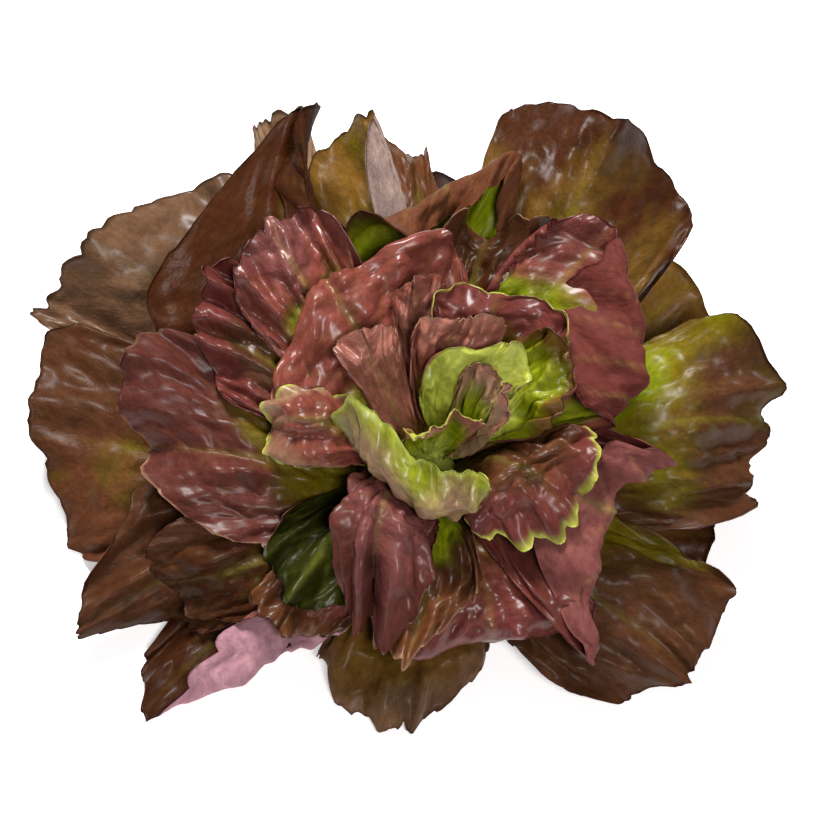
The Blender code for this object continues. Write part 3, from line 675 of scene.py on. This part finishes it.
def shell_faces(rows, columns):
    """The faces of two grids, one over the other, and of the strip that joins their edges, as vertex
    numbers, and each face's material: 1 on the under side and 0 elsewhere."""
    count = (rows + 1) * (columns + 1)
    faces = grid_faces(rows, columns)
    number = np.arange(count).reshape(rows + 1, columns + 1)
    loop = np.concatenate([number[0, :-1], number[:-1, -1], number[-1, :0:-1], number[:0:-1, 0]])
    step = np.roll(loop, -1)
    wall = np.stack([loop, loop + count, step + count, step], 1)
    quads = np.concatenate([faces[:, ::-1], faces + count, wall])
    return quads, np.repeat([0, 1, 0], [len(faces), len(faces), len(wall)])


def leaf_mesh(leaf, points, flat, u, v, seed):
    """A closed leaf: the sheet moved out along its normals on the upper side, moved in with its ribs on the
    under side, and a strip of faces round the edge."""
    rows, columns = points.shape[0] - 1, points.shape[1] - 1
    normal = sheet_normals(points)
    midrib, side = vein_field(flat[..., 0], flat[..., 1], seed)
    rib = RIB_HEIGHT * midrib * (1 - u) + SIDE_RIB_SHARE * RIB_HEIGHT * side * (1 - u)
    upper = points + normal * THICKNESS / 2
    under = points - normal * (THICKNESS / 2 + rib * ramp(u, 0.0, 0.1))[..., None]
    count = (rows + 1) * (columns + 1)
    quads, face_materials = shell_faces(rows, columns)
    mesh = bpy.data.meshes.new(leaf.name + "_blade")
    mesh.vertices.add(2 * count)
    mesh.vertices.foreach_set("co", np.concatenate([upper.reshape(-1, 3), under.reshape(-1, 3)]).ravel())
    mesh.loops.add(quads.size)
    mesh.loops.foreach_set("vertex_index", quads.ravel())
    mesh.polygons.add(len(quads))
    mesh.polygons.foreach_set("loop_start", np.arange(0, quads.size, 4))
    mesh.polygons.foreach_set("material_index", face_materials)
    mesh.update(calc_edges=True)
    mesh.validate()
    mesh.shade_smooth()
    plan = np.concatenate([flat.reshape(-1, 2), flat.reshape(-1, 2)]) / PLAN_SIZE
    mesh.uv_layers.new(name="plan").data.foreach_set("uv", plan[quads.ravel()].ravel())
    tint = mesh.color_attributes.new("tint", "FLOAT_COLOR", "POINT")
    colours = np.full((2 * count, 4), leaf.gloss)
    colours[:count, :3] = upper_colours(leaf, flat, u, v, seed).reshape(-1, 3)
    colours[count:, :3] = under_colours(leaf, flat, u, seed).reshape(-1, 3)
    tint.data.foreach_set("color", np.clip(colours, 0, 1).ravel())
    return mesh


def node(tree, kind, **values):
    """A shader node with its plain properties and input values set."""
    made = tree.nodes.new(kind)
    for name, value in values.items():
        if name in made.inputs:
            made.inputs[name].default_value = value
        else:
            setattr(made, name, value)
    return made


def mapped(tree, value, low, high, new_low=0.0, new_high=1.0):
    """A value's range from low to high made new_low to new_high."""
    made = node(tree, "ShaderNodeMapRange")
    for name, number in (("From Min", low), ("From Max", high), ("To Min", new_low), ("To Max", new_high)):
        made.inputs[name].default_value = number
    tree.links.new(value, made.inputs["Value"])
    return made.outputs["Result"]


def multiplied(tree, first, second):
    """Two colours multiplied."""
    made = node(tree, "ShaderNodeMix", data_type="RGBA", blend_type="MULTIPLY")
    made.inputs[0].default_value = 1.0
    tree.links.new(first, made.inputs[6])
    tree.links.new(second, made.inputs[7])
    return made.outputs[2]


def scaled_and_added(tree, value, scale, added):
    """A value times a number, plus another value."""
    made = node(tree, "ShaderNodeMath", operation="MULTIPLY_ADD")
    made.inputs[1].default_value = scale
    tree.links.new(value, made.inputs[0])
    tree.links.new(added, made.inputs[2])
    return made.outputs[0]


def skin_group():
    """Fine leaf skin: a net of small veins and grains that shifts the colour, roughness and height."""
    group = bpy.data.node_groups.new("leaf skin", "ShaderNodeTree")
    sockets = (
        ("Tint", "INPUT", "NodeSocketColor"),
        ("Mesh", "INPUT", "NodeSocketFloat"),
        ("Dullness", "INPUT", "NodeSocketFloat"),
        ("Color", "OUTPUT", "NodeSocketColor"),
        ("Roughness", "OUTPUT", "NodeSocketFloat"),
        ("Height", "OUTPUT", "NodeSocketFloat"),
    )
    for name, way, kind in sockets:
        group.interface.new_socket(name, in_out=way, socket_type=kind)
    given = group.nodes.new("NodeGroupInput")
    result = group.nodes.new("NodeGroupOutput")
    link = group.links.new
    plan = node(group, "ShaderNodeUVMap", uv_map="plan")
    net = node(group, "ShaderNodeTexVoronoi", feature="DISTANCE_TO_EDGE")
    link(plan.outputs["UV"], net.inputs["Vector"])
    link(given.outputs["Mesh"], net.inputs["Scale"])
    lines = mapped(group, net.outputs["Distance"], 0.0, 0.22)
    noise_node = node(group, "ShaderNodeTexNoise", Scale=34.0, Detail=5.0, Roughness=0.62)
    link(plan.outputs["UV"], noise_node.inputs["Vector"])
    grain = noise_node.outputs["Fac"]
    shaded = multiplied(group, given.outputs["Tint"], mapped(group, grain, 0.25, 0.75, 0.70, 1.30))
    netted = multiplied(group, shaded, mapped(group, lines, 0.0, 1.0, 0.92, 1.0))
    link(netted, result.inputs["Color"])
    link(scaled_and_added(group, grain, 0.25, given.outputs["Dullness"]), result.inputs["Roughness"])
    link(scaled_and_added(group, lines, 0.22, grain), result.inputs["Height"])
    return group


def skin_material(name, group, mesh_scale, dullness, coated):
    """A leaf face: the mesh's tint through the skin group, with a coat where the tint's alpha is high."""
    made = bpy.data.materials.new(name)
    made.use_nodes = True
    tree = made.node_tree
    shader = tree.nodes["Principled BSDF"]
    tint = node(tree, "ShaderNodeVertexColor", layer_name="tint")
    skin = node(tree, "ShaderNodeGroup")
    skin.node_tree = group
    skin.inputs["Mesh"].default_value = mesh_scale
    skin.inputs["Dullness"].default_value = dullness
    bump = node(tree, "ShaderNodeBump", Strength=0.5, Distance=BUMP_DEPTH)
    tree.links.new(tint.outputs["Color"], skin.inputs["Tint"])
    tree.links.new(skin.outputs["Color"], shader.inputs["Base Color"])
    tree.links.new(skin.outputs["Roughness"], shader.inputs["Roughness"])
    tree.links.new(skin.outputs["Height"], bump.inputs["Height"])
    tree.links.new(bump.outputs["Normal"], shader.inputs["Normal"])
    shader.inputs["Specular IOR Level"].default_value = SPECULAR
    if coated:
        tree.links.new(tint.outputs["Alpha"], shader.inputs["Coat Weight"])
        shader.inputs["Coat Roughness"].default_value = COAT_ROUGHNESS
    return made


def make_leaves():
    """All the leaves: laid in order on a coarse grid, then made on a fine one."""
    feet = np.linspace(LOWEST_FOOT, HIGHEST_FOOT, len(LEAVES))
    rough = [
        leaf_sheet(leaf, height, seed, LAYING, False)[0]
        for seed, (leaf, height) in enumerate(zip(LEAVES, feet))
    ]
    moves = swings_in_order(np.stack(rough))
    group = skin_group()
    upper = skin_material("glossy leaf face", group, SKIN_NET, 0.25, True)
    under = skin_material("matte leaf back", group, BACK_NET, 0.45, False)
    for seed, (leaf, height, moved) in enumerate(zip(LEAVES, feet, moves)):
        shape = HIDDEN if leaf.hidden else FINE
        points, flat, u, v = leaf_sheet(leaf, height, seed, shape, True)
        azimuth, swing, distance = to_swing(points)
        points = soft_floor(from_swing(azimuth, swing + between(moved, *shape), distance))
        made = bpy.data.objects.new(leaf.name + "_blade", leaf_mesh(leaf, points, flat, u, v, seed))
        made.data.materials.append(upper)
        made.data.materials.append(under)
        bpy.context.scene.collection.objects.link(made)
        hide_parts(leaf.name)
        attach(made, "root")


def make_stem_finish():
    """Moist pale flesh on the stem, which turns green towards the top."""
    made = bpy.data.materials.new("stem flesh")
    made.use_nodes = True
    tree = made.node_tree
    link = tree.links.new
    shader = tree.nodes["Principled BSDF"]
    shader.inputs["Roughness"].default_value = 0.45
    texture = node(tree, "ShaderNodeTexCoord")
    grain = node(tree, "ShaderNodeTexNoise", Scale=180.0, Detail=5.0)
    link(texture.outputs["Object"], grain.inputs["Vector"])
    flesh = node(tree, "ShaderNodeMix", data_type="RGBA")
    flesh.inputs[6].default_value = (*STEM_FLESH, 1)
    flesh.inputs[7].default_value = (*STEM_HIGHLIGHT, 1)
    link(grain.outputs["Fac"], flesh.inputs[0])
    bump = node(tree, "ShaderNodeBump", Strength=0.4, Distance=BUMP_DEPTH)
    link(grain.outputs["Fac"], bump.inputs["Height"])
    link(bump.outputs["Normal"], shader.inputs["Normal"])
    split = node(tree, "ShaderNodeSeparateXYZ")
    link(texture.outputs["Object"], split.inputs["Vector"])
    greener = node(tree, "ShaderNodeMix", data_type="RGBA")
    greener.inputs[7].default_value = (*PALE_LIME, 1)
    link(mapped(tree, split.outputs["Z"], *STEM_GREENS), greener.inputs[0])
    link(flesh.outputs[2], greener.inputs[6])
    link(greener.outputs[2], shader.inputs["Base Color"])
    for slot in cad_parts["stem"].material_slots:
        slot.material = made


def floor_material():
    """A plain white floor that glows a little, so that shadows stay pale."""
    made = bpy.data.materials.new("white floor")
    made.use_nodes = True
    shader = made.node_tree.nodes["Principled BSDF"]
    shader.inputs["Base Color"].default_value = (*FLOOR_COLOUR, 1)
    shader.inputs["Roughness"].default_value = FLOOR_ROUGHNESS
    shader.inputs["Emission Color"].default_value = (1, 1, 1, 1)
    shader.inputs["Emission Strength"].default_value = FLOOR_GLOW
    return made


def area_light(name, place, power, colour):
    """A square soft light that looks at the head."""
    lamp = bpy.data.lights.new(name, "AREA")
    lamp.size, lamp.energy, lamp.color = LAMP_SIZE, power, colour
    made = bpy.data.objects.new(name, lamp)
    made.location = place
    made.rotation_euler = look_rotation(np.array(LAMP_AIM) - np.array(place))
    bpy.context.scene.collection.objects.link(made)


def look_rotation(look):
    """Turns about X and Z that point -Z along a direction, with no roll."""
    level = math.hypot(look[0], look[1])
    return (math.atan2(level, -look[2]), 0.0, math.atan2(-look[0], look[1]))


def make_floor():
    """A level square under the head."""
    mesh = bpy.data.meshes.new("floor")
    half = FLOOR_HALF
    corners = [(-half, -half, 0), (half, -half, 0), (half, half, 0), (-half, half, 0)]
    mesh.from_pydata(corners, [], [(0, 1, 2, 3)])
    mesh.materials.append(floor_material())
    floor = bpy.data.objects.new("floor", mesh)
    bpy.context.scene.collection.objects.link(floor)


def make_lights():
    """A pale sky, a soft key light from behind and a weaker one from the front."""
    world = bpy.data.worlds.new("pale sky")
    world.use_nodes = True
    sky = world.node_tree.nodes["Background"]
    sky.inputs["Color"].default_value = (1, 1, 1, 1)
    sky.inputs["Strength"].default_value = SKY_STRENGTH
    bpy.context.scene.world = world
    area_light("back key", (-0.15, 0.55, 1.00), 19.6, (1.0, 0.99, 0.97))
    area_light("front soft", (0.25, -0.70, 1.15), 9.8, (1.0, 1.0, 1.0))


def make_camera():
    """The camera in front of the head, looking down on it."""
    camera = bpy.data.cameras.new("camera")
    camera.lens, camera.sensor_width = LENS, SENSOR
    camera.clip_start, camera.clip_end = 0.01, 20
    made = bpy.data.objects.new("camera", camera)
    aim = np.array(CAMERA_AIM)
    made.location = aim + CAMERA_AWAY * np.array([0, -math.cos(CAMERA_LIFT), math.sin(CAMERA_LIFT)])
    made.rotation_euler = look_rotation(aim - np.array(made.location))
    bpy.context.scene.collection.objects.link(made)
    bpy.context.scene.camera = made
    bpy.context.scene.view_settings.view_transform = "Standard"


make_leaves()
make_stem_finish()
make_floor()
make_lights()
make_camera()
